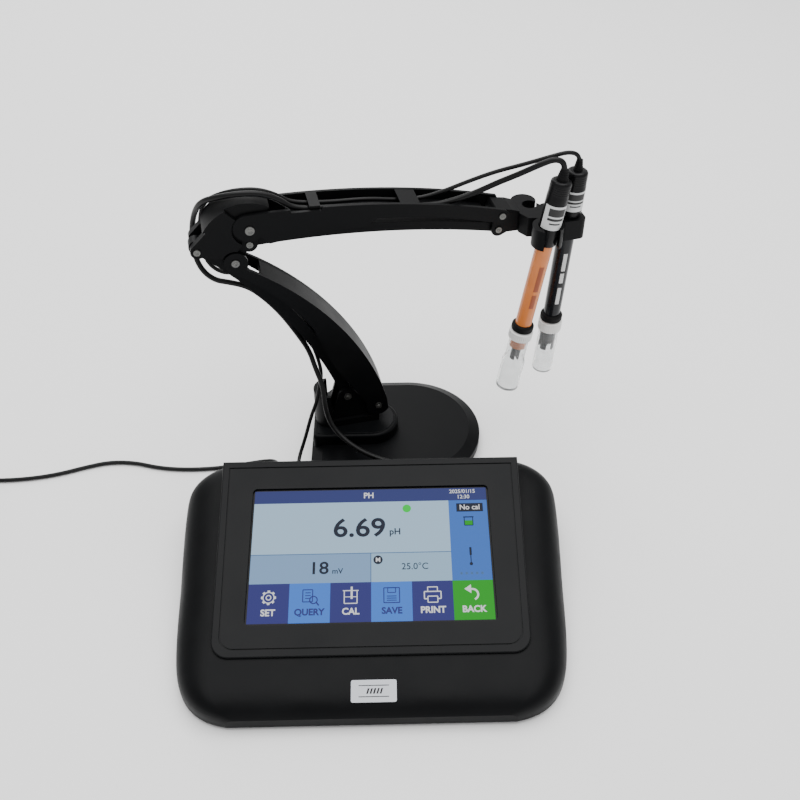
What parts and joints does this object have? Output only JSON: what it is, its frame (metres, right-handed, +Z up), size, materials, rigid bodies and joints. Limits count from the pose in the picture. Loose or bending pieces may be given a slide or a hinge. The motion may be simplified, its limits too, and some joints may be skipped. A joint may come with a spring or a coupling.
{
  "type": "ph meter",
  "caption": "Bench pH and conductivity meter with a sloping touch screen, a parallelogram electrode arm on a weighted stand, two electrodes and a power adapter.",
  "frame": {"origin": "on the table, near the middle of the instrument footprint", "axes": "+X to the right of the user, +Y to the back, +Z up"},
  "size_m": [0.491, 0.3025, 0.2381],
  "materials": {
    "case_plastic": "fine textured black ABS",
    "bezel_plastic": "satin black ABS",
    "arm_plastic": "fine textured black nylon",
    "black_plastic": "semi-gloss black",
    "black_rubber": "matt black",
    "rubber": "matt dark grey",
    "screen_glass": "clear cover glass",
    "display": "lit colour display",
    "circuit_board": "green solder mask",
    "connector_metal": "nickel plated",
    "badge": "satin grey plate",
    "screw_steel": "zinc plated",
    "weight_iron": "painted iron",
    "plate_steel": "black painted sheet",
    "pin_steel": "bright steel",
    "ph_body": "dark epoxy body",
    "bulb_glass": "clear glass bulb",
    "white_plastic": "white polyethylene",
    "clear_bottle": "clear plastic bottle",
    "orange_tube": "translucent amber tube",
    "lead_jacket": "satin black cable jacket",
    "cord_jacket": "satin black cable jacket"
  },
  "bodies": {
    "root": {"meter_bottom_case": "case_plastic", "meter_top_case": "case_plastic", "screen_bezel": "bezel_plastic", "touch_glass": "screen_glass", "display_module": "display", "main_board": "circuit_board", "input_board": "circuit_board", "rear_panel": "bezel_plastic", "coaxial_sockets": "connector_metal", "dc_jack": "black_plastic", "usb_port": "connector_metal", "badge_plate": "badge", "meter_feet": "rubber", "underside_screws": "screw_steel", "stand_cover": "case_plastic", "stand_insert": "bezel_plastic", "stand_weight": "weight_iron", "stand_bottom_plate": "plate_steel", "stand_feet": "rubber", "base_leads": "lead_jacket", "ph_plug": "connector_metal", "cond_plug": "black_plastic", "power_cord": "cord_jacket", "power_cord_coil": "cord_jacket", "dc_plug": "black_plastic", "power_adapter": "black_plastic", "adapter_prongs": "connector_metal"},
    "swivel": {"swivel_bracket": "arm_plastic", "swivel_shaft": "pin_steel", "swivel_screw": "screw_steel", "base_pins": "pin_steel"},
    "lower_arm": {"lower_link": "arm_plastic", "lower_leads": "lead_jacket"},
    "lower_tie_bar": {"lower_tie": "arm_plastic"},
    "elbow": {"elbow_knuckle": "arm_plastic", "elbow_rim_cover": "arm_plastic", "elbow_pins": "pin_steel", "elbow_leads": "lead_jacket"},
    "upper_arm": {"upper_link": "arm_plastic", "cable_bridges": "arm_plastic", "channel_leads": "lead_jacket"},
    "upper_tie_bar": {"upper_tie": "arm_plastic"},
    "holder": {"electrode_holder": "arm_plastic", "holder_pins": "pin_steel", "lead_arcs": "lead_jacket"},
    "ph_electrode": {"ph_cap": "black_plastic", "ph_strain_relief": "black_rubber", "ph_tube": "ph_body", "ph_bulb": "bulb_glass", "ph_ring": "black_rubber"},
    "ph_storage_bottle": {"ph_bottle_cap": "white_plastic", "ph_bottle": "clear_bottle"},
    "cond_electrode": {"cond_cap": "black_plastic", "cond_strain_relief": "black_rubber", "cond_tube": "orange_tube", "cond_cell": "black_plastic", "cond_ring": "black_rubber"},
    "cond_storage_bottle": {"cond_bottle_cap": "white_plastic", "cond_bottle": "clear_bottle"},
    "button": {"power_button": "black_plastic"}
  },
  "joints": [
    {"name": "base_swivel", "type": "hinge", "parent": "root", "child": "swivel", "pos_m": [-0.01496, 0.16432, 0], "axis": [0, 0, 1], "range_deg": [-25, 75], "deforming": ["base_leads"]},
    {"name": "lower_arm_tilt", "type": "hinge", "parent": "swivel", "child": "lower_arm", "pos_m": [0.00499, 0.15639, 0.0384], "axis": [-0.213, 0.977, 0], "range_deg": [-5, 42]},
    {"name": "lower_tie_turn", "type": "hinge", "parent": "swivel", "child": "lower_tie_bar", "pos_m": [-0.01728, 0.15154, 0.0501], "axis": [-0.213, 0.977, 0], "range_deg": [-5, 42]},
    {"name": "elbow_level", "type": "hinge", "parent": "lower_arm", "child": "elbow", "pos_m": [-0.08363, 0.13707, 0.1814], "axis": [-0.213, 0.977, 0], "range_deg": [-42, 5], "deforming": ["elbow_leads"]},
    {"name": "upper_arm_tilt", "type": "hinge", "parent": "elbow", "child": "upper_arm", "pos_m": [-0.0721, 0.13958, 0.204], "axis": [-0.213, 0.977, 0], "range_deg": [-30, 12]},
    {"name": "upper_tie_turn", "type": "hinge", "parent": "elbow", "child": "upper_tie_bar", "pos_m": [-0.07317, 0.13935, 0.1922], "axis": [-0.213, 0.977, 0], "range_deg": [-30, 12]},
    {"name": "holder_level", "type": "hinge", "parent": "upper_arm", "child": "holder", "pos_m": [0.09166, 0.17529, 0.1903], "axis": [-0.213, 0.977, 0], "range_deg": [-12, 30], "deforming": ["lead_arcs"]},
    {"name": "ph_electrode_lift", "type": "slide", "parent": "holder", "child": "ph_electrode", "axis": [0.0459, 0.01, 0.9989], "range_m": [0, 0.05]},
    {"name": "ph_bottle_pull", "type": "slide", "parent": "ph_electrode", "child": "ph_storage_bottle", "axis": [-0.0459, -0.01, -0.9989], "range_m": [0, 0.04]},
    {"name": "cond_electrode_slide", "type": "slide", "parent": "holder", "child": "cond_electrode", "axis": [0.1412, 0.0308, 0.9895], "range_m": [-0.02, 0.025]},
    {"name": "cond_bottle_pull", "type": "slide", "parent": "cond_electrode", "child": "cond_storage_bottle", "axis": [-0.1412, -0.0308, -0.9895], "range_m": [0, 0.04]},
    {"name": "power_button_press", "type": "slide", "parent": "root", "child": "button", "axis": [0, -1, 0], "range_m": [0, 0.0015], "stiffness_N_per_m": 400}
  ],
  "couplings": [
    {"joint": "lower_tie_turn", "follows": "lower_arm_tilt", "ratio": 1},
    {"joint": "elbow_level", "follows": "lower_arm_tilt", "ratio": -1},
    {"joint": "upper_tie_turn", "follows": "upper_arm_tilt", "ratio": 1},
    {"joint": "holder_level", "follows": "upper_arm_tilt", "ratio": -1}
  ]
}
